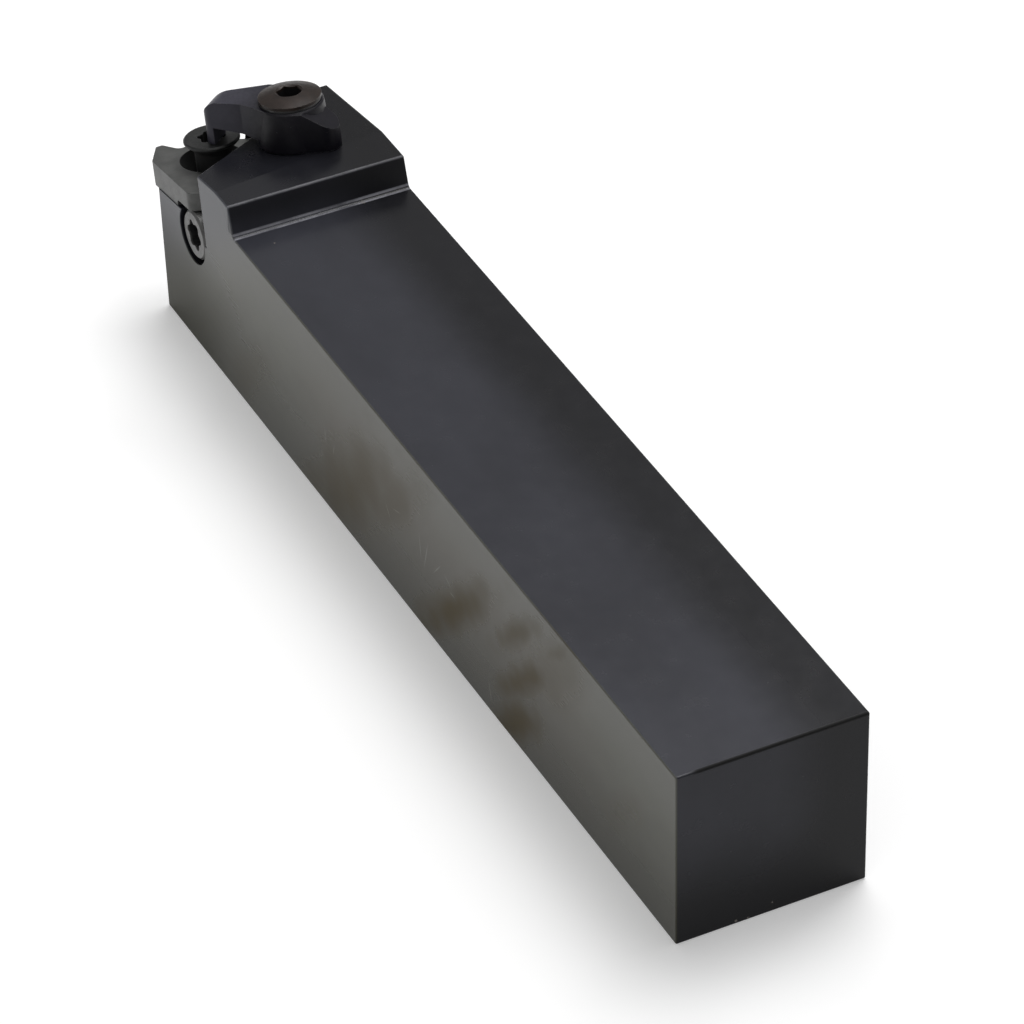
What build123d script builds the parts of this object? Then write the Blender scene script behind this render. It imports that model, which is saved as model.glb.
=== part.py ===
from build123d import *
from math import acos, atan2, cos, hypot, radians, sin, sqrt, tan
import os

# An external threading tool holder, right hand, in millimetres.
# The origin is the centre of the shank's rear face. +X runs along the shank towards the cutting
# end, +Y points to the left flank, where the insert sits, and +Z points up.

# Shank
shank_width = 25.0
shank_height = 25.0
shank_length = 120.5        # rear face to the foot of the head's rear wall
edge_radius = 0.2           # broken edges of the shank and head
end_edge_radius = 0.25      # edges across the rear and the front's lower end

# Head
head_length = 24.8          # foot of the rear wall to the front face, at the shank's top
head_rise = 4.0             # flat top of the head above the shank's top
head_wall_lean = 18.0       # the rear wall leans forward, in degrees
head_crest_radius = 0.35
head_foot_radius = 0.6
front_relief = 3.0          # the front face falls back towards its lower end, in degrees

# Insert seat. Its plane falls towards the cutting end and towards the left flank
seat_fall = 9.0             # degrees, towards the cutting end
seat_helix = 1.0            # degrees, towards the left flank
insert_circle = 12.7        # inscribed circle of the triangular insert
seat_inset = 0.2            # insert's left side inside the flank
seat_setback = 4.4          # insert's centre behind the front face
seat_depth = 6.15           # seat floor at the insert's centre below the shank's top
head_over_seat = 7.75       # sloping top of the head above the seat floor
wall_relief_width = 2.3     # undercut along the foot of the rear seat wall
wall_relief_depth = 2.6
wall_relief_length = 4.5
corner_relief_radius = 0.9  # drilled relief where the two seat walls meet

# Anvil under the insert
anvil_thickness = 3.5
anvil_gap = 0.1             # anvil to the seat walls and short of the flank
anvil_rear_corner = 9.0     # cut rear corner from the insert's centre
anvil_right_corner = 10.6   # cut inner corner from the insert's centre
anvil_corner_radius = 1.4
anvil_front = 6.4           # front edge ahead of the insert's centre
nose_reach = 8.8            # tip of the nose ahead of the insert's centre
nose_side = 3.95            # nose's centre line left of the insert's centre
nose_angle = 60.0
nose_tip_width = 0.9
nose_tip_radius = 0.35
nose_root_radius = 1.0
notch_height = 0.95         # clears the head of the anvil screw
notch_depth = 3.7
notch_start = 2.2           # front end of the notch behind the insert's centre
notch_radius = 0.7

# Insert screw, left standing proud because no insert is fitted
insert_screw_radius = 2.5
insert_head_radius = 3.75
insert_head_rim = 0.25
insert_head_bevel = 0.18
insert_head_top = 7.12      # head's top above the seat floor
insert_cone_angle = 45.0    # half angle of the head's cone
insert_screw_length = 15.0
insert_screw_draw = 0.3     # screw axis right of the insert's centre, towards the inner corner
insert_socket_radius = 1.95
insert_socket_depth = 1.6
anvil_hole_radius = 4.2     # wide hole in the anvil, which the screw passes through
anvil_hole_ahead = 1.2      # hole's axis ahead of the screw
thread_gap = 0.05           # screws in their tapped holes
hole_past_end = 0.8         # blind holes run past the screw ends

# Anvil screw in the left flank
anvil_screw_back = 11.2     # axis behind the front face, at the shank's top
anvil_screw_drop = 7.85     # axis below the shank's top
anvil_screw_radius = 2.0
anvil_head_radius = 3.4
anvil_head_height = 3.0
anvil_head_bevel = 0.3
anvil_head_recess = 0.25    # head's face inside the flank
anvil_bore_radius = 4.0
anvil_screw_length = 6.0    # under the head
anvil_socket_radius = 2.15
anvil_socket_depth = 1.8

# Clamp, which turns and lifts on its screw behind the seat
clamp_reach = 12.35         # clamp screw's axis to the insert's centre
clamp_angle = 42.9          # arm's direction, degrees left of straight ahead
boss_radius = 4.4
boss_foot_radius = 4.8
boss_height = 5.65
clamp_edge = 0.2            # broken edges of the clamp
arm_under = 1.85            # arm's underside at the nose, above the head's sloping top
arm_under_root = 0.65       # the same underside, carried on to the screw's axis
arm_drop = 0.2              # arm's top falls by this from the boss to the nose
arm_left = 2.2              # arm's left side from the screw's axis, ahead of its bend
arm_bend = 6.2              # where the left side turns out to meet the boss
arm_right = 3.95            # arm's right side where it leaves the boss
arm_shoulder = 4.7          # where the right side begins to taper
nose_tip = 12.0             # front of the clamp's nose from the screw's axis
nose_back = 10.5            # rear of the nose's foot from the screw's axis
nose_right = 0.6            # nose's right side from the screw's axis
nose_gap = 0.1              # nose's foot above the insert screw's head
nose_front_radius = 2.6
nose_corner_radius = 1.3
tail_reach = 6.8
tail_radius = 2.1
tail_side = 0.9             # tail's round end, left of the screw's axis
tail_height = 2.8           # top of the tail's end
tail_lean = 35.0            # tail's top rises towards the boss, in degrees
clamp_bore_gap = 0.1

# Clamp screw, washer and spring
clamp_screw_radius = 2.5
clamp_screw_length = 22.0   # under the head
clamp_head_radius = 4.15
clamp_head_rim = 0.42
clamp_head_dome = 0.73
clamp_socket_flats = 3.0
clamp_socket_turn = 15.0    # hexagon's turn from the arm's direction, in degrees
clamp_socket_depth = 1.7
clamp_socket_mouth = 1.85   # radius of the countersunk mouth
clamp_mouth_angle = 60.0    # half angle of the countersink
washer_radius = 4.05
washer_thickness = 0.35
spring_bore_radius = 3.65
spring_bore_depth = 6.0
spring_wire = 0.7           # side of the wire's square section
spring_turns = 3.5
spring_bore_gap = 0.2       # spring to the wall of its bore
spring_end_gap = 0.02

thread_end_chamfer = 0.5
# Six-lobed sockets, as parts of the radius over the lobes
lobe_ratio = 0.27
valley_ratio = 0.22
core_ratio = 0.86
pick = 0.01                 # margin for picking edges by their place

# Places that follow from the sizes above
half_width = shank_width / 2
half_height = shank_height / 2
head_top_z = half_height + head_rise
front_x = shank_length + head_length
insert_half = insert_circle / 2


def front_at(z):
    """X of the sloping front face at a height."""
    return front_x + (z - half_height) * tan(radians(front_relief))


seat = Plane(
    origin=(front_x - seat_setback, half_width - seat_inset - insert_half, half_height - seat_depth),
    x_dir=(cos(radians(seat_fall)), 0, -sin(radians(seat_fall))),
    z_dir=(tan(radians(seat_fall)), tan(radians(seat_helix)), 1),
)


def on_seat(u, v, h=0.0, turn=0.0):
    """A plane parallel to the seat: u ahead, v left and h above the insert's centre."""
    a = radians(turn)
    ahead = seat.x_dir * cos(a) + seat.y_dir * sin(a)
    return Plane(origin=seat.from_local_coords((u, v, h)), x_dir=ahead, z_dir=seat.z_dir)


def placed(plane, shape):
    """A shape made about the origin, moved onto a plane."""
    return plane.location * shape


def disc(radius, height, base=0.0):
    """An upright cylinder that starts at a height."""
    return Pos(0, 0, base) * Cylinder(radius, height, align=(Align.CENTER, Align.CENTER, Align.MIN))


def turned(points):
    """A solid of revolution about Z from its half section in X and Z."""
    section = Plane.XZ * make_face(Polyline(*points, close=True))
    return revolve(section, Axis.Z)


def six_lobe(radius, depth):
    """A six-lobed socket that goes down from the origin."""
    lobe = radius * lobe_ratio
    valley = radius * valley_ratio
    outline = Circle(radius * core_ratio)
    for i in range(6):
        outline += PolarLocations(radius - lobe, 1, start_angle=60 * i) * Circle(lobe)
        outline -= PolarLocations(radius, 1, start_angle=60 * i + 30) * Circle(valley)
    return extrude(outline, -depth)


clamp_u = -clamp_reach * cos(radians(clamp_angle))
clamp_v = -clamp_reach * sin(radians(clamp_angle))
clamp_base = on_seat(clamp_u, clamp_v, head_over_seat, clamp_angle)
insert_axis = on_seat(0, -insert_screw_draw)
anvil_axis = Plane(
    origin=(front_x - anvil_screw_back, half_width, half_height - anvil_screw_drop),
    x_dir=(1, 0, 0),
    z_dir=(0, 1, 0),
)


def wall_line(distance, direction):
    """A point on a line at a distance from the insert's centre, and the line's own direction."""
    a = radians(direction)
    return (distance * cos(a), distance * sin(a)), (-sin(a), cos(a))


def crossing(first, second):
    """Where two such lines cross."""
    (px, py), (dx, dy) = first
    (qx, qy), (ex, ey) = second
    t = ((qx - px) * ey - (qy - py) * ex) / (dx * ey - dy * ex)
    return px + t * dx, py + t * dy


# Directions from the insert's centre to its sides and corners, in degrees
left_side, rear_side, front_side = 90, 210, 330
rear_corner, inner_corner = 150, 270


def seat_pocket():
    """Space above the seat floor, up to the two seat walls and open to the left and front."""
    reach = 4 * insert_half
    inner = crossing(wall_line(insert_half, rear_side), wall_line(insert_half, front_side))
    rear_end = (inner[0] - reach * sin(radians(30)), inner[1] + reach * cos(radians(30)))
    front_end = (inner[0] + reach * sin(radians(30)), inner[1] + reach * cos(radians(30)))
    floor = make_face(Polyline(inner, front_end, rear_end, close=True))
    space = extrude(floor, 2 * head_over_seat)
    space += Pos(inner[0], inner[1], 0) * disc(corner_relief_radius, 2 * head_over_seat)
    return placed(on_seat(0, 0), space)


def wall_relief():
    """Undercut along the foot of the rear seat wall, where it meets the flank."""
    outer = crossing(wall_line(insert_half, rear_side), wall_line(insert_half + seat_inset, left_side))
    block = Box(
        wall_relief_length,
        wall_relief_width,
        wall_relief_depth,
        align=(Align.MIN, Align.MIN, Align.MAX),
    )
    return placed(on_seat(outer[0], outer[1], 0, -60), Pos(-wall_relief_width, 0, 0) * block)


def holder_body():
    profile = Polyline(
        (0, -half_height),
        (front_at(-half_height), -half_height),
        (front_at(head_top_z), head_top_z),
        (shank_length + head_rise * tan(radians(head_wall_lean)), head_top_z),
        (shank_length, half_height),
        (0, half_height),
        close=True,
    )
    body = extrude(Plane.XZ * make_face(profile), half_width, both=True)
    across = body.edges().filter_by(Axis.Y)
    crest = across.filter_by_position(Axis.Z, head_top_z - pick, head_top_z + pick).sort_by(Axis.X)[0]
    body = fillet(crest, head_crest_radius)
    across = body.edges().filter_by(Axis.Y)
    foot = across.filter_by_position(Axis.X, shank_length - pick, shank_length + pick)
    body = fillet(foot, head_foot_radius)
    across = body.edges().filter_by(Axis.Y)
    ends = across.filter_by_position(Axis.X, -pick, pick)
    lower = across.filter_by_position(Axis.Z, -half_height - pick, -half_height + pick)
    ends += lower.sort_by(Axis.X)[-1:]
    body = fillet(ends, end_edge_radius)
    above = disc(4 * head_length, 2 * head_over_seat)
    body -= placed(on_seat(0, 0, head_over_seat), above)
    flanks = body.faces().filter_by(Axis.Y)
    body = fillet(flanks.edges(), edge_radius)

    body -= seat_pocket()
    body -= wall_relief()
    insert_hole = insert_screw_length - insert_head_top + hole_past_end
    body -= placed(insert_axis, disc(insert_screw_radius + thread_gap, insert_hole + 1, -insert_hole))
    anvil_bore = anvil_head_recess + anvil_head_height
    body -= placed(anvil_axis, disc(anvil_bore_radius, anvil_bore + 1, -anvil_bore))
    anvil_hole = anvil_bore + anvil_screw_length + hole_past_end
    body -= placed(anvil_axis, disc(anvil_screw_radius + thread_gap, anvil_hole, -anvil_hole))
    body -= placed(clamp_base, disc(spring_bore_radius, spring_bore_depth + 1, -spring_bore_depth))
    clamp_hole = clamp_screw_length - boss_height - washer_thickness + hole_past_end
    body -= placed(clamp_base, disc(clamp_screw_radius + thread_gap, clamp_hole, -clamp_hole))
    return body


def anvil():
    """Hardened plate between the insert and the seat floor, with a nose under the cutting point."""
    size = insert_half - anvil_gap
    left = wall_line(insert_half + seat_inset - anvil_gap, left_side)
    rear = wall_line(size, rear_side)
    front = wall_line(size, front_side)
    rear_cut = wall_line(anvil_rear_corner, rear_corner)
    inner_cut = wall_line(anvil_right_corner, inner_corner)
    ahead = wall_line(anvil_front, 0)
    half_tip = nose_tip_width / 2
    slope = tan(radians(nose_angle / 2))
    left_v = left[0][1]
    left_root = (nose_reach - (left_v - nose_side - half_tip) / slope, left_v)
    right_root = (anvil_front, nose_side - half_tip - (nose_reach - anvil_front) * slope)
    outline = make_face(
        Polyline(
            left_root,
            (nose_reach, nose_side + half_tip),
            (nose_reach, nose_side - half_tip),
            right_root,
            crossing(ahead, front),
            crossing(front, inner_cut),
            crossing(inner_cut, rear),
            crossing(rear, rear_cut),
            crossing(rear_cut, left),
            close=True,
        )
    )
    plate = extrude(outline, anvil_thickness)
    upright = plate.edges().filter_by(Axis.Z)
    behind = upright.filter_by_position(Axis.X, -2 * insert_half, -insert_half / 2)
    plate = fillet(behind, anvil_corner_radius)
    upright = plate.edges().filter_by(Axis.Z)
    root = upright.sort_by_distance((*right_root, anvil_thickness / 2))[0]
    plate = fillet(root, nose_root_radius)
    upright = plate.edges().filter_by(Axis.Z)
    tips = upright.filter_by_position(Axis.X, nose_reach - pick, nose_reach + pick)
    plate = fillet(tips, nose_tip_radius)

    notch_v = left_v - notch_depth
    notch = Box(
        2 * insert_half,
        2 * notch_depth,
        2 * notch_height,
        align=(Align.MAX, Align.MIN, Align.CENTER),
    )
    front_top = notch.edges().filter_by(Axis.Y).sort_by(Axis.X)[-2:].sort_by(Axis.Z)[-1]
    notch = fillet(front_top, notch_radius)
    plate -= Pos(-notch_start, notch_v, 0) * notch
    hole = disc(anvil_hole_radius, anvil_thickness + 2, -1)
    plate -= Pos(anvil_hole_ahead, -insert_screw_draw, 0) * hole
    return placed(on_seat(0, 0), plate)


def insert_screw():
    """Countersunk screw with a six-lobed socket. It holds the insert when one is fitted."""
    top = insert_head_top
    neck = insert_head_radius - insert_screw_radius
    under = top - insert_head_bevel - insert_head_rim
    screw = turned(
        [
            (0, top),
            (insert_head_radius - insert_head_bevel, top),
            (insert_head_radius, top - insert_head_bevel),
            (insert_head_radius, under),
            (insert_screw_radius, under - neck / tan(radians(insert_cone_angle))),
            (insert_screw_radius, top - insert_screw_length + thread_end_chamfer),
            (insert_screw_radius - thread_end_chamfer, top - insert_screw_length),
            (0, top - insert_screw_length),
        ]
    )
    screw -= Pos(0, 0, top) * six_lobe(insert_socket_radius, insert_socket_depth)
    return placed(insert_axis, screw)


def anvil_screw():
    """Cylinder-headed screw in the left flank, under the anvil's rear corner."""
    top = -anvil_head_recess
    under = top - anvil_head_height
    end = under - anvil_screw_length
    screw = turned(
        [
            (0, top),
            (anvil_head_radius - anvil_head_bevel, top),
            (anvil_head_radius, top - anvil_head_bevel),
            (anvil_head_radius, under),
            (anvil_screw_radius, under),
            (anvil_screw_radius, end + thread_end_chamfer),
            (anvil_screw_radius - thread_end_chamfer, end),
            (0, end),
        ]
    )
    screw -= Pos(0, 0, top) * six_lobe(anvil_socket_radius, anvil_socket_depth)
    return placed(anvil_axis, screw)


def touching(point, end_radius=0.0, side=1):
    """Where the line that touches the boss's top circle and a round end meets both of them."""
    spread = acos((boss_radius - end_radius) / hypot(*point))
    a = atan2(point[1], point[0]) + side * spread
    normal = (cos(a), sin(a))
    on_boss = (boss_radius * normal[0], boss_radius * normal[1])
    on_end = (point[0] + end_radius * normal[0], point[1] + end_radius * normal[1])
    return on_boss, on_end


def clamp():
    """Hook-nosed finger clamp: a boss round the screw, an arm, a nose and a short tail."""
    boss = turned(
        [
            (0, 0),
            (boss_foot_radius - clamp_edge, 0),
            (boss_foot_radius, clamp_edge),
            (boss_radius, boss_height - clamp_edge),
            (boss_radius - clamp_edge, boss_height),
            (0, boss_height),
        ]
    )
    # The arm in plan: the left side runs out to the boss, the right side tapers to the nose
    bend = (arm_bend, arm_left)
    plan = make_face(
        Polyline(
            (0, 0),
            (0, -arm_right),
            (arm_shoulder, -arm_right),
            (nose_tip, -nose_right),
            (nose_tip, arm_left),
            bend,
            touching(bend)[0],
            close=True,
        )
    )
    arm = Pos(0, 0, -boss_height) * extrude(plan, 3 * boss_height)
    upright = arm.edges().filter_by(Axis.Z)
    tips = upright.filter_by_position(Axis.X, nose_tip - pick, nose_tip + pick)
    arm = fillet(tips, nose_corner_radius)
    # The arm from its side: an arched underside, a hooked nose and a rounded brow
    nose_foot = insert_head_top + nose_gap - head_over_seat
    nose_top = boss_height - arm_drop
    side = make_face(
        Polyline(
            (0, arm_under_root),
            (nose_back, arm_under),
            (nose_back, nose_foot),
            (nose_tip, nose_foot),
            (nose_tip, nose_top),
            (boss_radius, boss_height),
            (0, boss_height),
            close=True,
        )
    )
    profile = extrude(Plane.XZ * side, 2 * boss_radius, both=True)
    across = profile.edges().filter_by(Axis.Y)
    front = across.filter_by_position(Axis.X, nose_tip - pick, nose_tip + pick)
    profile = fillet(front.sort_by(Axis.Z)[-1], nose_front_radius)
    across = profile.edges().filter_by(Axis.Y)
    front = across.filter_by_position(Axis.X, nose_tip - pick, nose_tip + pick)
    profile = fillet(front.sort_by(Axis.Z)[0], clamp_edge)
    # The tail: a round end, joined to the boss along its left side, whose top rises to the boss
    centre = (tail_radius - tail_reach, tail_side)
    on_boss, on_end = touching(centre, tail_radius, -1)
    lobe = Pos(*centre) * Circle(tail_radius)
    lobe += make_face(Polyline((0, 0), on_boss, on_end, centre, close=True))
    crown = boss_height - clamp_edge
    crown_x = (crown - tail_height) / tan(radians(tail_lean)) - tail_reach
    fall = make_face(
        Polyline(
            (0, 0),
            (-tail_reach, 0),
            (-tail_reach, tail_height),
            (crown_x, crown),
            (0, crown),
            close=True,
        )
    )
    tail = extrude(lobe, boss_height) & extrude(Plane.XZ * fall, 2 * boss_radius, both=True)
    finger = boss + (arm & profile) + tail
    finger -= disc(clamp_screw_radius + clamp_bore_gap, 2 * boss_height, -1)
    return placed(clamp_base, finger)


def clamp_washer():
    ring = disc(washer_radius, washer_thickness, boss_height)
    ring -= disc(clamp_screw_radius + clamp_bore_gap, washer_thickness + 2, boss_height - 1)
    return placed(clamp_base, ring)


def clamp_screw():
    """Low domed screw with a hexagon socket."""
    under = boss_height + washer_thickness
    rim = under + clamp_head_rim
    end = under - clamp_screw_length
    dome_radius = (clamp_head_radius**2 + clamp_head_dome**2) / (2 * clamp_head_dome)
    dome = Pos(0, 0, rim + clamp_head_dome - dome_radius) * Sphere(dome_radius)
    head = disc(clamp_head_radius, clamp_head_rim + clamp_head_dome, under) & dome
    shank = turned(
        [
            (0, rim),
            (clamp_screw_radius, rim),
            (clamp_screw_radius, end + thread_end_chamfer),
            (clamp_screw_radius - thread_end_chamfer, end),
            (0, end),
        ]
    )
    screw = head + shank
    hexagon = RegularPolygon(clamp_socket_flats / 2, 6, major_radius=False, rotation=clamp_socket_turn)
    socket_foot = rim + clamp_head_dome - clamp_socket_depth
    screw -= Pos(0, 0, socket_foot) * extrude(hexagon, 2 * clamp_socket_depth)
    # The countersunk mouth of the socket
    spread = tan(radians(clamp_mouth_angle))
    mouth = rim + clamp_head_dome - dome_radius + sqrt(dome_radius**2 - clamp_socket_mouth**2)
    screw -= turned(
        [
            (0, mouth - clamp_socket_mouth / spread),
            (clamp_socket_mouth + clamp_head_dome * spread, mouth + clamp_head_dome),
            (0, mouth + clamp_head_dome),
        ]
    )
    return placed(clamp_base, screw)


def clamp_spring():
    """Compression spring of square wire in its bore under the clamp."""
    mean_radius = spring_bore_radius - spring_bore_gap - spring_wire / 2
    span = spring_bore_depth - spring_wire - 2 * spring_end_gap
    path = Helix(span / spring_turns, span, mean_radius)
    section = Plane(origin=path @ 0, x_dir=(1, 0, 0), z_dir=path % 0) * Rectangle(spring_wire, spring_wire)
    coil = sweep(section, path=path, is_frenet=True)
    return placed(clamp_base, Pos(0, 0, -spring_bore_depth + spring_end_gap + spring_wire / 2) * coil)


nodes = {
    "holder_body": holder_body,
    "anvil": anvil,
    "insert_screw": insert_screw,
    "anvil_screw": anvil_screw,
    "clamp": clamp,
    "clamp_washer": clamp_washer,
    "clamp_screw": clamp_screw,
    "clamp_spring": clamp_spring,
}

os.makedirs("parts", exist_ok=True)
for name, make in nodes.items():
    export_step(make(), f"parts/{name}.step")
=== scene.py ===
from math import cos, radians, sin, tan

import bpy
from mathutils import Matrix, Vector

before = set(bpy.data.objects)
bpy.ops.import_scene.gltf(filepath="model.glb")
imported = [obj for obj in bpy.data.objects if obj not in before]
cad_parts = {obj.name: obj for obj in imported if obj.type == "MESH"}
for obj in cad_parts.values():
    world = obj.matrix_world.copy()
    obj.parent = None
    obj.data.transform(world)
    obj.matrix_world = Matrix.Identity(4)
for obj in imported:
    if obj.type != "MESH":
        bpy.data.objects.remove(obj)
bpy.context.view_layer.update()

# Looks of a right-hand threading tool holder. Lengths are in metres, in the part's frame: the
# origin is the centre of the shank's rear face, X runs ahead to the cutting end, Y to the left
# flank and Z up. The patterns on the steel are made in millimetres of the same frame.


def rgb(red, green, blue):
    return (red, green, blue, 1.0)


def grey(level):
    return rgb(level, level, level)


MM = 0.001

# Places on the tool, in mm and degrees
HALF_SHANK = 12.5
HEAD_FOOT_X = 120.5         # foot of the head's rear wall
HEAD_TOP_Z = 16.5
WALL_LEAN = 18.0            # the rear wall's, from upright
CREST_X = HEAD_FOOT_X + (HEAD_TOP_Z - HALF_SHANK) * tan(radians(WALL_LEAN))
SEAT_CENTRE = (140.9, 5.95, 6.35)
SEAT_FALL = 9.0             # towards the cutting end
SEAT_HELIX = 1.0            # towards the left flank
ANVIL_THICKNESS = 3.5
ANVIL_HOLE = (1.2, -0.3)    # ahead and left of the seat's centre
ANVIL_HOLE_RADIUS = 4.2
ANVIL_SCREW_AXIS = (134.1, 4.65)    # X and Z
ANVIL_BORE_RADIUS = 4.0
CLAMP_HEAD_TOP = 14.76      # crown of the clamp screw, above the seat
INSERT_HEAD_TOP = 7.12      # above the seat
ANVIL_HEAD_TOP = -0.25      # out of the flank
CLAMP_REACH = 12.35         # clamp screw to the seat's centre
CLAMP_ANGLE = 42.9          # left of straight ahead

# Camera, turned and placed as the photograph was taken
CAMERA_PLACE = (-0.4288651, 0.2400445, 0.4223130)
IMAGE_RIGHT = (-0.4480101, -0.8938584, -0.0174385)
IMAGE_UP = (0.5374981, -0.2848832, 0.7936859)
VIEW_BACK = (-0.7144108, 0.3462061, 0.6080778)
LENS = 198.763
SENSOR = 36.0
CLIP_END = 20.0

# Light. The sky is white overhead and falls off towards the horizon, as in a room with a large
# soft box above the table
SKY_LIGHT = 0.34            # level that falls on surfaces
SKY_HORIZON = 0.15          # level that reflections find at the horizon
SKY_FULL = 1.00             # sine of the elevation above which they find white
KEY_PLACE = (0.32, -0.30, 0.92)
KEY_SIZE = (0.60, 0.60)
KEY_POWER = 7.2
FILL_PLACE = (-0.50, 0.50, 0.70)
FILL_SIZE = (0.60, 0.60)
FILL_POWER = 0.5
AIM = (0.07, 0.0, 0.0)

# Table top under the shank
FLOOR_Z = -HALF_SHANK * MM
FLOOR_SIZE = 6.0
TABLE_TONE = grey(0.86)
TABLE_ROUGHNESS = 0.9
TABLE_LEVEL = 0.1
TABLE_GLOW = 0.26           # lifts it to white, only for the camera and for reflections

# Shading
BEVEL_SAMPLES = 6
EDGE_COSINES = (0.97, 0.80) # rounded to flat normal, where wear starts and where it is full
NOISE_MIDDLE = (0.3, 0.7)   # most of a noise lies between these


class Surface:
    """One procedural steel finish, built from nodes in millimetres of the part's frame."""

    def __init__(self, name, edge_radius):
        """Its edges look finely broken by the radius in mm, and edges is their mask for wear."""
        self.material = bpy.data.materials.new(name)
        self.material.use_nodes = True
        self.tree = self.material.node_tree
        self.shader = self.tree.nodes["Principled BSDF"]
        metres = self.node("ShaderNodeTexCoord").outputs["Object"]
        self.place = self.vector("MULTIPLY", metres, (1 / MM, 1 / MM, 1 / MM))
        self.height = None
        bevel = self.node("ShaderNodeBevel", {"Radius": edge_radius * MM}, samples=BEVEL_SAMPLES)
        self.rounded = bevel.outputs["Normal"]
        flat = self.node("ShaderNodeNewGeometry").outputs["Normal"]
        self.edges = self.ramp(self.vector("DOT_PRODUCT", self.rounded, flat), *EDGE_COSINES)

    def node(self, kind, inputs=None, **settings):
        made = self.tree.nodes.new(kind)
        for key, value in settings.items():
            setattr(made, key, value)
        for key, value in (inputs or {}).items():
            self.feed(made.inputs[key], value)
        return made

    def feed(self, target, value):
        """Links a socket, or sets a plain number, vector or colour on it."""
        if isinstance(value, bpy.types.NodeSocket):
            self.tree.links.new(value, target)
        else:
            target.default_value = value

    def math(self, operation, first, *rest):
        """One value out of several, joined from left to right."""
        for second in rest:
            made = self.node("ShaderNodeMath", {0: first, 1: second}, operation=operation)
            first = made.outputs[0]
        return first

    def times(self, *factors):
        return self.math("MULTIPLY", *factors)

    def most(self, *masks):
        return self.math("MAXIMUM", *masks)

    def vector(self, operation, first, second=(0.0, 0.0, 0.0)):
        made = self.node("ShaderNodeVectorMath", {0: first, 1: second}, operation=operation)
        return made.outputs["Value" if operation in ("LENGTH", "DOT_PRODUCT") else "Vector"]

    def part(self, letter, place=None):
        """X, Y or Z of a place, or else of the place in the part's frame."""
        whole = self.place if place is None else place
        return self.node("ShaderNodeSeparateXYZ", {0: whole}).outputs[letter]

    def noise(self, size, detail=3.0, roughness=0.55, stretch=(1.0, 1.0, 1.0)):
        """Noise whose blotches are about size mm across, stretched along the axes."""
        scale = tuple(1 / (size * s) for s in stretch)
        where = self.vector("MULTIPLY", self.place, scale)
        made = self.node(
            "ShaderNodeTexNoise",
            {"Vector": where, "Scale": 1.0, "Detail": detail, "Roughness": roughness},
        )
        return made.outputs[0]

    def ramp(self, value, low, high, start=0.0, end=1.0):
        """Value carried smoothly from low..high to start..end, and held outside it."""
        made = self.node(
            "ShaderNodeMapRange",
            {"Value": value, "From Min": low, "From Max": high, "To Min": start, "To Max": end},
            interpolation_type="SMOOTHSTEP",
        )
        return made.outputs["Result"]

    def spread(self, noise, start=0.0, end=1.0):
        """A noise carried from the middle of its range to start..end."""
        return self.ramp(noise, *NOISE_MIDDLE, start, end)

    def mix(self, share, first, second):
        """Colour that goes from the first to the second."""
        made = self.node("ShaderNodeMix", data_type="RGBA")
        self.feed(made.inputs[0], share)
        self.feed(made.inputs[6], first)
        self.feed(made.inputs[7], second)
        return made.outputs[2]

    def patch(self, centre, reach, ragged=0.3, lean=0.0):
        """Soft cloud, 1 at its centre and 0 past its reach in mm. It rises ahead by lean."""
        away = self.vector("SUBTRACT", self.place, centre)
        turned = self.node(
            "ShaderNodeVectorRotate",
            {"Vector": away, "Angle": radians(lean)},
            rotation_type="Y_AXIS",
        ).outputs[0]
        away = self.vector("MULTIPLY", turned, tuple(1 / r for r in reach))
        distance = self.vector("LENGTH", away)
        rim = self.ramp(self.noise(min(reach), 1.0), 0.2, 0.8, -ragged, ragged)
        return self.ramp(self.math("ADD", distance, rim), 0.0, 1.0, 1.0, 0.0)

    def from_line_along_y(self, x, z):
        """Distance in mm from a line along Y, through a place in X and Z."""
        away = self.vector("MULTIPLY", self.vector("SUBTRACT", self.place, (x, 0, z)), (1, 0, 1))
        return self.vector("LENGTH", away)

    def line_along_y(self, x, z, radius):
        """1 on a thin line along Y, 0 past its radius in mm."""
        return self.ramp(self.from_line_along_y(x, z), 0.3 * radius, radius, 1.0, 0.0)

    def seat_place(self, ahead, left, turn=0.0):
        """Place in the seat's own directions, from a point on it, turned about its normal."""
        origin, axes = seat_frame(ahead, left, turn)
        away = self.vector("SUBTRACT", self.place, tuple(origin))
        along = [self.vector("DOT_PRODUCT", away, tuple(axis)) for axis in axes]
        return self.node("ShaderNodeCombineXYZ", dict(enumerate(along))).outputs[0]

    def off_axis(self, place):
        """Distance from the third axis of a place."""
        return self.vector("LENGTH", self.vector("MULTIPLY", place, (1, 1, 0)))

    def bump(self, height, depth):
        """Adds a relief: height from 0 to 1 stands for depth in mm."""
        scaled = self.times(height, depth * MM)
        self.height = scaled if self.height is None else self.math("ADD", self.height, scaled)

    def done(self, colour, roughness, metallic=0.0, level=0.5):
        inputs = self.shader.inputs
        self.feed(inputs["Base Color"], colour)
        self.feed(inputs["Roughness"], roughness)
        self.feed(inputs["Metallic"], metallic)
        inputs["Specular IOR Level"].default_value = level
        relief = {"Height": self.height, "Distance": 1.0, "Strength": 1.0, "Normal": self.rounded}
        bump = self.node("ShaderNodeBump", relief)
        self.tree.links.new(bump.outputs["Normal"], inputs["Normal"])
        return self.material


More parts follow.
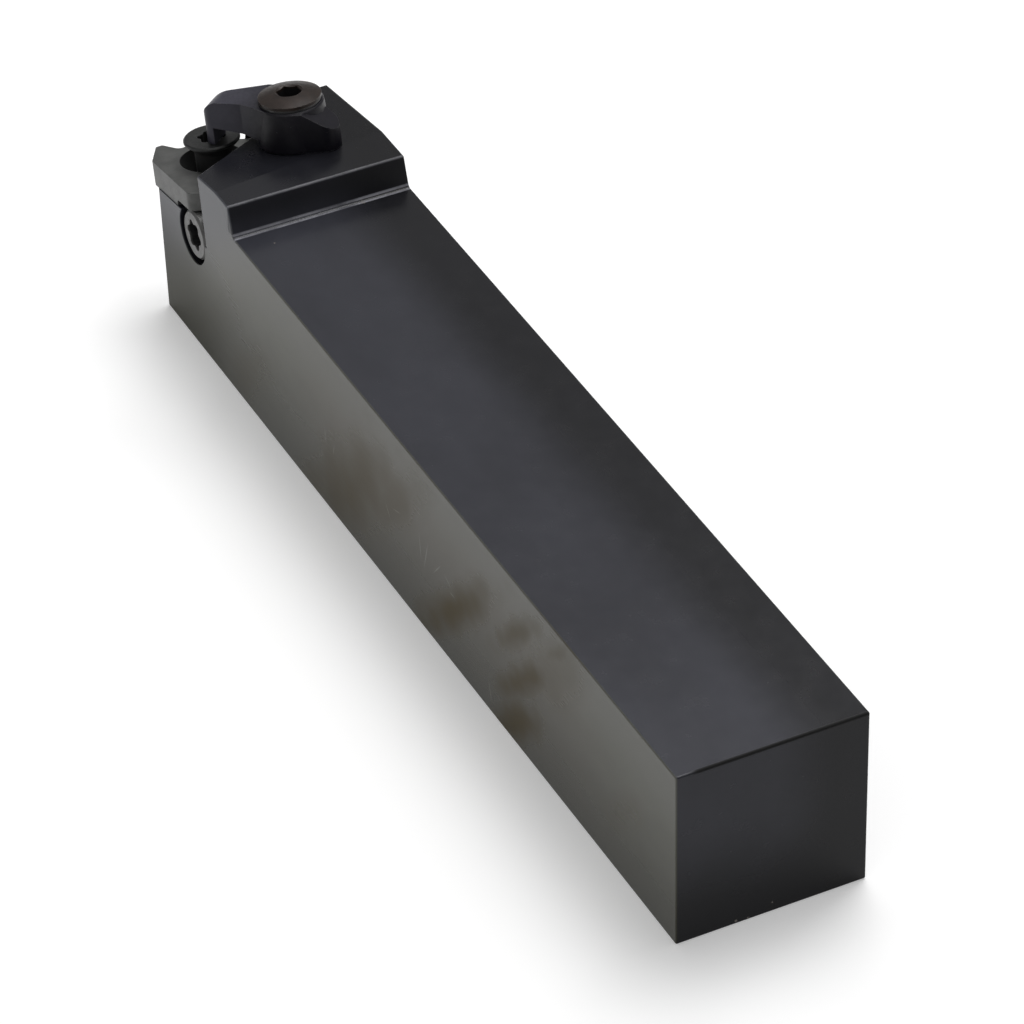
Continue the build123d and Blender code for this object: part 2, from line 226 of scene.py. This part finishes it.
def seat_frame(ahead, left, turn=0.0):
    """A point on the insert seat, in mm, and the directions ahead, left and up there."""
    up = Vector((tan(radians(SEAT_FALL)), tan(radians(SEAT_HELIX)), 1.0)).normalized()
    first = Vector((cos(radians(SEAT_FALL)), 0.0, -sin(radians(SEAT_FALL))))
    second = up.cross(first)
    origin = Vector(SEAT_CENTRE) + ahead * first + left * second
    a = radians(turn)
    return origin, (cos(a) * first + sin(a) * second, cos(a) * second - sin(a) * first, up)


# Tones and roughness of the holder's body
# Two ends of the body's oxide tone, between which it moves mostly as painted light and shade
OXIDE_SHADED = rgb(0.0020, 0.0019, 0.0030)
OXIDE_LIT = rgb(0.0335, 0.0345, 0.0440)
GROUND = (rgb(0.073, 0.074, 0.056), rgb(0.085, 0.085, 0.066))
GROUND_FILMED = rgb(0.080, 0.071, 0.055)
# Painted light: the paler tone of the flank's upper part
GROUND_LIT_UPPER = rgb(0.098, 0.098, 0.084)
GROUND_HEAD = rgb(0.070, 0.073, 0.085)
# Painted shade: the darker tone of the flank's low part
GROUND_SHADED_LOW = rgb(0.030, 0.029, 0.018)
OIL_BROWN = rgb(0.046, 0.031, 0.003)
# Bright steel of rubbed corners, also used as painted highlight on the head's crest and wall foot
RUBBED_STEEL_AND_HIGHLIGHT = rgb(0.22, 0.22, 0.245)
NICKED_STEEL = rgb(0.22, 0.20, 0.18)
SCRATCHED_STEEL = rgb(0.30, 0.30, 0.27)
BORE_BLACK = grey(0.004)
# Painted dark reflection on the edge between the top and the rear face
EDGE_DARK_REFLECTION = grey(0.002)
DULL = grey(0.48)           # roughness under oil and at the flank's lower front
ROUGH = grey(0.7)           # roughness in the bore and on the painted dark edge at the rear top
OXIDE_LEVEL = 0.185

# Brown oil marks on the left flank: X and Z of the centre, reach along and across, in mm, and
# strength
OIL_LEAN = -42.0            # degrees, they run down and ahead
OIL_RAGGED = 0.14
OIL_MARKS = [
    (58.0, -4.0, 24.0, 4.4, 1.00),
    (41.5, -10.0, 15.0, 4.8, 1.00),
    (38.0, -0.5, 17.0, 3.4, 0.90),
    (40.0, 5.0, 13.0, 3.0, 0.75),
    (29.5, 9.5, 8.0, 2.4, 0.60),
    (30.0, 7.0, 18.0, 7.0, 0.40),
    (86.0, -4.0, 26.0, 10.0, 0.70),
    (74.0, 2.0, 20.0, 6.0, 0.50),
    (66.0, -12.0, 20.0, 3.6, 0.60),
    (97.0, -11.0, 20.0, 6.5, 0.45),
    (117.0, -6.0, 15.0, 5.0, 0.25),
    (13.0, -2.0, 11.0, 4.0, 0.20),
]

# Fine bright scratches on the left flank: X and Z of the middle and half length, in mm, and the
# angle by which they rise ahead, in degrees
SCRATCH_HALF_WIDTH = 0.13
SCRATCH_STRENGTH = 0.45
SCRATCHES = [
    (66.6, -0.2, 2.6, 84.0),
    (65.0, -0.6, 3.0, 106.0),
    (75.7, -0.9, 1.5, 52.0),
    (73.1, 0.8, 1.6, -16.0),
    (59.0, -0.3, 1.2, 24.0),
    (57.8, -1.6, 1.0, 0.0),
    (93.9, -1.4, 1.8, 84.0),
    (91.5, -1.9, 1.4, 104.0),
    (47.8, -9.5, 2.2, 78.0),
    (61.9, -0.5, 2.2, -50.0),
]

# Small pale nicks on the top and low on the rear face: place and reach in mm
NICK_STRENGTH = 0.8
NICKS = [
    ((120.1, -5.7, 12.5), 0.35),
    ((117.1, 8.2, 12.5), 0.16),
    ((0.0, 4.7, -12.0), 0.30),
    ((0.0, -0.1, -11.1), 0.18),
    ((0.0, 3.1, -12.2), 0.20),
    ((0.2, -3.9, 12.3), 0.30),
]


def oxide_tone_and_painted_light(s, x, y, z):
    """Black oxide tone with painted light and shade: paler along the left of the top and towards
    the rear, darker on the rear face, on the head and low down; only the clouds are the oxide's
    own tone.
    """
    # Painted light and shade: the top is painted paler on its left and towards the rear, the rear
    # face and the head darker, and the rear face darker low down where the floor's shadow is
    # reflected
    to_left = s.ramp(y, -8.5, 0.5, 0.14, 1.0)
    to_rear = s.ramp(x, 30.0, 0.0, 0.80, 1.0)
    off_rear_face = s.ramp(x, 0.05, 0.3, 0.65, 1.0)
    on_head = s.ramp(x, HEAD_FOOT_X, HEAD_FOOT_X + 1.0, 1.0, 0.36)
    upwards = s.ramp(z, -9.0, 4.0, 0.12, 1.0)
    clouds = s.spread(s.noise(11.0, 4.0, 0.5, (2.0, 1.0, 1.0)), 0.85, 1.12)
    pale = s.times(to_left, to_rear, off_rear_face, on_head, upwards, clouds)
    return s.mix(pale, OXIDE_SHADED, OXIDE_LIT)


def ground_tone_and_painted_light(s, x, z):
    """Ground flank: greenish grey, browner in its middle, bluer at the head, with painted light on
    its upper part and painted shade low down.
    """
    tone = s.mix(s.spread(s.noise(6.0, 3.0, 0.5, (1.8, 1.0, 1.0))), *GROUND)
    film = s.times(s.ramp(x, 12.0, 32.0), s.ramp(x, 108.0, 90.0, 0.0, 0.7))
    tone = s.mix(film, tone, GROUND_FILMED)
    # Painted light: the flank is painted paler towards its top
    painted_light_upper = s.ramp(z, 2.0, 12.0, 0.0, 0.85)
    tone = s.mix(painted_light_upper, tone, GROUND_LIT_UPPER)
    to_head = s.math("ADD", s.times(x, 0.0345), s.times(z, 0.050))
    tone = s.mix(s.ramp(to_head, 4.40, 5.05), tone, GROUND_HEAD)
    # Painted shade: the flank is painted darker low down, where it reflects the floor's shadow
    low = s.ramp(z, 8.0, -12.0, 0.0, 0.80)
    return s.mix(low, tone, GROUND_SHADED_LOW)


def oil_mask(s):
    """All oil marks of the flank in one mask."""
    marks = []
    for along, up, long, across, strength in OIL_MARKS:
        cloud = s.patch((along, HALF_SHANK, up), (long, 6.0, across), OIL_RAGGED, OIL_LEAN)
        marks.append(s.times(cloud, strength))
    return s.most(*marks)


def rubbed_and_highlight_mask(s):
    """Where the oxide is rubbed off at the corners, and painted highlights along the head's crest
    and the foot of its rear wall.
    """
    rubbed = s.ramp(s.noise(1.3, 4.0), 0.36, 0.60)
    corners = s.times(s.edges, s.times(rubbed, 0.35))
    # Painted highlights: bright lines on the crest's fillet and at the foot of the rear wall,
    # where light glints
    crest = s.times(s.line_along_y(CREST_X + 0.14, HEAD_TOP_Z - 0.07, 0.30), 0.4)
    foot = s.line_along_y(HEAD_FOOT_X - 0.45, HALF_SHANK, 0.24)
    wall_foot = s.line_along_y(HEAD_FOOT_X + 0.05, HALF_SHANK + 0.35, 0.24)
    broken = s.ramp(s.noise(2.5, 4.0, 0.6, (1.0, 2.0, 1.0)), 0.3, 0.6, 0.35, 1.0)
    return s.most(corners, s.times(s.most(crest, foot, wall_foot), broken))


def bore_mask(s, y):
    """Wall of the anvil screw's bore, from just below the flank to its bottom."""
    away = s.from_line_along_y(*ANVIL_SCREW_AXIS)
    round_bore = s.ramp(away, ANVIL_BORE_RADIUS + 0.3, ANVIL_BORE_RADIUS + 0.1)
    return s.times(round_bore, s.times(s.ramp(y, 12.2, 11.6), s.ramp(y, -2.0, -1.0)))


def black_oxide():
    """Black oxide with a thin oil film. The left flank is ground, smoother and greenish grey."""
    s = Surface("black_oxide_steel", 0.12)
    x, y, z = s.part("X"), s.part("Y"), s.part("Z")
    flank = s.ramp(y, HALF_SHANK - 0.25, HALF_SHANK - 0.02)
    oil = oil_mask(s)
    ground = s.mix(oil, ground_tone_and_painted_light(s, x, z), OIL_BROWN)
    colour = s.mix(flank, oxide_tone_and_painted_light(s, x, y, z), ground)
    colour = s.mix(rubbed_and_highlight_mask(s), colour, RUBBED_STEEL_AND_HIGHLIGHT)
    for spot, reach in NICKS:
        nick = s.patch(spot, (reach, reach, reach), 0.5)
        colour = s.mix(s.times(nick, NICK_STRENGTH), colour, NICKED_STEEL)
    for along, up, half, lean in SCRATCHES:
        reach = (half, 1.0, SCRATCH_HALF_WIDTH)
        scratch = s.patch((along, HALF_SHANK, up), reach, 0.1, lean)
        colour = s.mix(s.times(scratch, SCRATCH_STRENGTH), colour, SCRATCHED_STEEL)

    # Painted dark reflection along the edge between the top and the rear face, but for its left
    # end
    painted_dark_edge = s.times(s.line_along_y(0.12, HALF_SHANK - 0.12, 0.40), s.ramp(y, 11.0, 9.5))
    colour = s.mix(painted_dark_edge, colour, EDGE_DARK_REFLECTION)
    bore = bore_mask(s, y)
    colour = s.mix(bore, colour, BORE_BLACK)

    # The head's rear wall keeps the streaks of its milling cutter
    off_foot = s.ramp(z, HALF_SHANK + 0.1, HALF_SHANK + 0.5)
    wall = s.times(off_foot, s.ramp(x, CREST_X + 0.4, CREST_X - 0.1))
    streaks = s.noise(0.35, 3.0, 0.6, (1.0, 1.0, 30.0))
    grain = s.noise(0.25, 2.0)
    drawn = s.noise(0.5, 2.0, 0.5, (30.0, 1.0, 1.0))
    roughness = s.ramp(s.noise(3.0, 4.0), 0.25, 0.75, 0.22, 0.28)
    smooth = s.ramp(drawn, 0.2, 0.8, 0.20, 0.25)
    lower_front = s.times(s.ramp(x, 112.0, 138.0), s.ramp(z, 11.0, -5.0))
    smooth = s.mix(lower_front, smooth, DULL)
    roughness = s.mix(flank, roughness, smooth)
    roughness = s.mix(wall, roughness, s.spread(streaks, 0.38, 0.55))
    roughness = s.mix(s.times(oil, flank), roughness, DULL)
    roughness = s.mix(s.most(bore, painted_dark_edge), roughness, ROUGH)
    s.bump(grain, 0.0007)
    s.bump(s.times(drawn, flank), 0.0004)
    s.bump(s.times(streaks, wall), 0.004)
    return s.done(colour, roughness, level=OXIDE_LEVEL)


def bare_anvil():
    """Hardened and ground plate, left grey, with its hole coloured near black."""
    s = Surface("bare_anvil_steel", 0.12)
    tone = s.spread(s.noise(2.2, 4.0))
    colour = s.mix(tone, rgb(0.059, 0.060, 0.058), rgb(0.089, 0.090, 0.087))
    worn = s.times(s.edges, s.ramp(s.noise(0.8, 4.0), 0.4, 0.6))
    colour = s.mix(s.times(worn, 0.6), colour, grey(0.22))
    spot = s.seat_place(*ANVIL_HOLE)
    hole = s.ramp(s.off_axis(spot), ANVIL_HOLE_RADIUS + 0.20, ANVIL_HOLE_RADIUS + 0.04)
    under_top = s.ramp(s.part("Z", spot), ANVIL_THICKNESS - 0.02, ANVIL_THICKNESS - 0.15)
    hole = s.times(hole, under_top)
    colour = s.mix(hole, colour, grey(0.004))
    lines = s.noise(0.12, 2.0, 0.6, (1.0, 30.0, 1.0))
    s.bump(lines, 0.0015)
    s.bump(s.noise(0.3, 2.0), 0.001)
    roughness = s.mix(hole, s.ramp(lines, 0.2, 0.8, 0.34, 0.46), grey(0.8))
    metallic = s.ramp(hole, 0.0, 1.0, 0.25, 0.0)
    return s.done(colour, roughness, metallic, level=0.4)


def clamp_axis(s, turn=0.0):
    """Place from the clamp screw's axis, in the seat's directions, turned about it by degrees."""
    angle = radians(CLAMP_ANGLE)
    return s.seat_place(-CLAMP_REACH * cos(angle), -CLAMP_REACH * sin(angle), turn)


def insert_axis(s):
    """Place from the insert screw's axis, in the seat's directions."""
    return s.seat_place(0.0, ANVIL_HOLE[1])


def anvil_screw_axis(s):
    """Place from the anvil screw's axis at the flank, with the third direction outwards."""
    away = s.vector("SUBTRACT", s.place, (ANVIL_SCREW_AXIS[0], HALF_SHANK, ANVIL_SCREW_AXIS[1]))
    turn = {"Vector": away, "Angle": radians(90)}
    return s.node("ShaderNodeVectorRotate", turn, rotation_type="X_AXIS").outputs[0]


def black_clamp():
    """Investment-cast finger clamp: black with a fine grain and worn edges; the arm is painted
    paler as light and the boss darker as shade.
    """
    s = Surface("black_clamp_steel", 0.18)
    along_arm = s.part("X", clamp_axis(s, CLAMP_ANGLE))
    tone = s.spread(s.noise(2.5, 4.0))
    # Painted shade on the boss and painted light on the arm: darker at the boss, paler along the
    # arm, as light falls on them
    boss = s.mix(tone, rgb(0.0020, 0.0015, 0.0040), rgb(0.0036, 0.0029, 0.0064))
    arm = s.mix(tone, rgb(0.0300, 0.0292, 0.0410), rgb(0.0380, 0.0370, 0.0510))
    colour = s.mix(s.ramp(along_arm, 1.5, 9.0), boss, arm)
    worn = s.times(s.edges, s.ramp(s.noise(0.9, 4.0), 0.38, 0.56))
    colour = s.mix(s.times(worn, 0.75), colour, rgb(0.13, 0.13, 0.135))
    chips = s.ramp(s.noise(0.45, 3.0), 0.70, 0.76, 0.0, 0.5)
    colour = s.mix(chips, colour, grey(0.07))
    s.bump(s.noise(0.16, 3.0), 0.003)
    s.bump(s.noise(0.7, 3.0), 0.005)
    return s.done(colour, s.spread(s.noise(0.5, 3.0), 0.34, 0.46), level=0.20)


def screw_steel(
    name, axis, head_top, head_depth, socket_radius, socket_depth, tones, edge, roughness, level
):
    """Heat-treated screw steel with brighter edges, partly worn and partly painted highlight, and
    painted shade, black, in the socket and below the head.

    Depths are from the head's top, in mm. The painted black shade of the socket starts at
    socket_depth, and that of the shaft at head_depth.
    """
    s = Surface(name, 0.1)
    colour = s.mix(s.spread(s.noise(1.2, 4.0)), *tones)
    # Worn edges, brightened partly as a painted highlight on the head's rim
    worn = s.times(s.edges, s.ramp(s.noise(0.6, 3.0), 0.3, 0.55))
    colour = s.mix(s.times(worn, 0.8), colour, edge)
    place = axis(s)
    height = s.part("Z", place)
    deep = s.ramp(height, head_top - socket_depth, head_top - socket_depth - 0.25)
    inside = s.times(deep, s.ramp(s.off_axis(place), socket_radius + 0.15, socket_radius))
    below = s.ramp(height, head_top - head_depth, head_top - head_depth - 0.15)
    # Painted shade: black in the socket and below the head, where shade falls
    black = s.most(inside, below)
    colour = s.mix(black, colour, rgb(0.0016, 0.0016, 0.0018))
    s.bump(s.noise(0.12, 2.0), 0.002)
    rough = s.mix(black, s.spread(s.noise(0.4, 3.0), *roughness), grey(0.75))
    metallic = s.ramp(black, 0.0, 1.0, 0.15, 0.0)
    return s.done(colour, rough, metallic, level)


def washer_steel():
    """Dark washer, nearly hidden under the clamp screw's head."""
    s = Surface("washer_steel", 0.05)
    colour = s.mix(s.spread(s.noise(0.8, 4.0)), grey(0.02), grey(0.05))
    s.bump(s.noise(0.1, 2.0), 0.002)
    return s.done(colour, s.spread(s.noise(0.5), 0.3, 0.45), metallic=0.4)


def spring_steel():
    """Bright drawn wire."""
    s = Surface("spring_steel", 0.08)
    colour = s.mix(s.spread(s.noise(1.0, 4.0)), grey(0.18), rgb(0.30, 0.29, 0.28))
    s.bump(s.noise(0.08, 2.0, 0.5, (1.0, 1.0, 8.0)), 0.002)
    return s.done(colour, s.spread(s.noise(0.3), 0.28, 0.40), metallic=0.9)


FINISHES = {
    "holder_body": black_oxide(),
    "anvil": bare_anvil(),
    "clamp": black_clamp(),
    "clamp_screw": screw_steel(
        "bronze_screw_steel",
        clamp_axis,
        head_top=CLAMP_HEAD_TOP,
        head_depth=1.02,
        socket_radius=1.75,
        socket_depth=0.35,
        tones=(rgb(0.012, 0.0074, 0.0056), rgb(0.021, 0.0130, 0.0098)),
        edge=rgb(0.20, 0.18, 0.16),
        roughness=(0.34, 0.44),
        level=0.22,
    ),
    "insert_screw": screw_steel(
        "dark_screw_steel",
        insert_axis,
        head_top=INSERT_HEAD_TOP,
        head_depth=0.5,
        socket_radius=2.0,
        socket_depth=0.1,
        tones=(rgb(0.010, 0.0105, 0.0105), rgb(0.018, 0.0185, 0.018)),
        edge=rgb(0.16, 0.17, 0.17),
        roughness=(0.34, 0.46),
        level=0.30,
    ),
    "anvil_screw": screw_steel(
        "grey_screw_steel",
        anvil_screw_axis,
        head_top=ANVIL_HEAD_TOP,
        head_depth=0.9,
        socket_radius=2.2,
        socket_depth=0.1,
        tones=(rgb(0.075, 0.075, 0.073), rgb(0.110, 0.109, 0.106)),
        edge=grey(0.26),
        roughness=(0.32, 0.44),
        level=0.45,
    ),
    "clamp_washer": washer_steel(),
    "clamp_spring": spring_steel(),
}

for name, finish in FINISHES.items():
    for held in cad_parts[name].material_slots:
        held.material = finish


def seen_share(tree):
    """1 for rays from the camera, a reflection or a transmission, and 0 for the rest."""
    path = tree.nodes.new("ShaderNodeLightPath")
    share = path.outputs["Is Camera Ray"]
    for name in ("Is Glossy Ray", "Is Transmission Ray"):
        step = tree.nodes.new("ShaderNodeMath")
        step.operation = "MAXIMUM"
        tree.links.new(share, step.inputs[0])
        tree.links.new(path.outputs[name], step.inputs[1])
        share = step.outputs[0]
    return share


def studio_sky():
    """Even soft light, seen as white overhead and darker towards the horizon."""
    world = bpy.data.worlds.new("studio_sky")
    bpy.context.scene.world = world
    world.use_nodes = True
    tree = world.node_tree
    background = tree.nodes["Background"]
    background.inputs["Color"].default_value = grey(1.0)
    direction = tree.nodes.new("ShaderNodeTexCoord").outputs["Generated"]
    parts = tree.nodes.new("ShaderNodeSeparateXYZ")
    tree.links.new(direction, parts.inputs[0])
    dome = tree.nodes.new("ShaderNodeMapRange")
    dome.interpolation_type = "SMOOTHSTEP"
    tree.links.new(parts.outputs["Z"], dome.inputs["Value"])
    dome.inputs["From Max"].default_value = SKY_FULL
    dome.inputs["To Min"].default_value = SKY_HORIZON
    strength = tree.nodes.new("ShaderNodeMapRange")
    tree.links.new(seen_share(tree), strength.inputs["Value"])
    strength.inputs["To Min"].default_value = SKY_LIGHT
    tree.links.new(dome.outputs["Result"], strength.inputs["To Max"])
    tree.links.new(strength.outputs["Result"], background.inputs["Strength"])


def floor():
    """White table top under the tool, with its soft shadow."""
    half = FLOOR_SIZE / 2
    mesh = bpy.data.meshes.new("floor")
    corners = [(-half, -half), (half, -half), (half, half), (-half, half)]
    mesh.from_pydata([(x, y, FLOOR_Z) for x, y in corners], [], [(0, 1, 2, 3)])
    table = bpy.data.objects.new("floor", mesh)
    bpy.context.scene.collection.objects.link(table)
    material = bpy.data.materials.new("white_table")
    material.use_nodes = True
    tree = material.node_tree
    shader = tree.nodes["Principled BSDF"]
    shader.inputs["Base Color"].default_value = TABLE_TONE
    shader.inputs["Roughness"].default_value = TABLE_ROUGHNESS
    shader.inputs["Specular IOR Level"].default_value = TABLE_LEVEL
    shader.inputs["Emission Color"].default_value = grey(1.0)
    glow = tree.nodes.new("ShaderNodeMapRange")
    tree.links.new(seen_share(tree), glow.inputs["Value"])
    glow.inputs["To Max"].default_value = TABLE_GLOW
    tree.links.new(glow.outputs["Result"], shader.inputs["Emission Strength"])
    mesh.materials.append(material)


def soft_box(name, place, size, power):
    """Rectangular lamp that faces the tool."""
    light = bpy.data.lights.new(name, "AREA")
    light.shape = "RECTANGLE"
    light.size, light.size_y = size
    light.energy = power
    lamp = bpy.data.objects.new(name, light)
    bpy.context.scene.collection.objects.link(lamp)
    lamp.location = place
    lamp.rotation_euler = (Vector(place) - Vector(AIM)).to_track_quat("Z", "Y").to_euler()


def camera():
    """Camera at the photograph's place."""
    data = bpy.data.cameras.new("photo_camera")
    data.lens = LENS
    data.sensor_width = SENSOR
    data.clip_end = CLIP_END
    seen = bpy.data.objects.new("photo_camera", data)
    bpy.context.scene.collection.objects.link(seen)
    turn = Matrix((IMAGE_RIGHT, IMAGE_UP, VIEW_BACK)).transposed()
    seen.matrix_world = Matrix.Translation(CAMERA_PLACE) @ turn.to_4x4()
    bpy.context.scene.camera = seen


studio_sky()
floor()
soft_box("key_light", KEY_PLACE, KEY_SIZE, KEY_POWER)
soft_box("fill_light", FILL_PLACE, FILL_SIZE, FILL_POWER)
camera()
bpy.context.scene.view_settings.view_transform = "Standard"
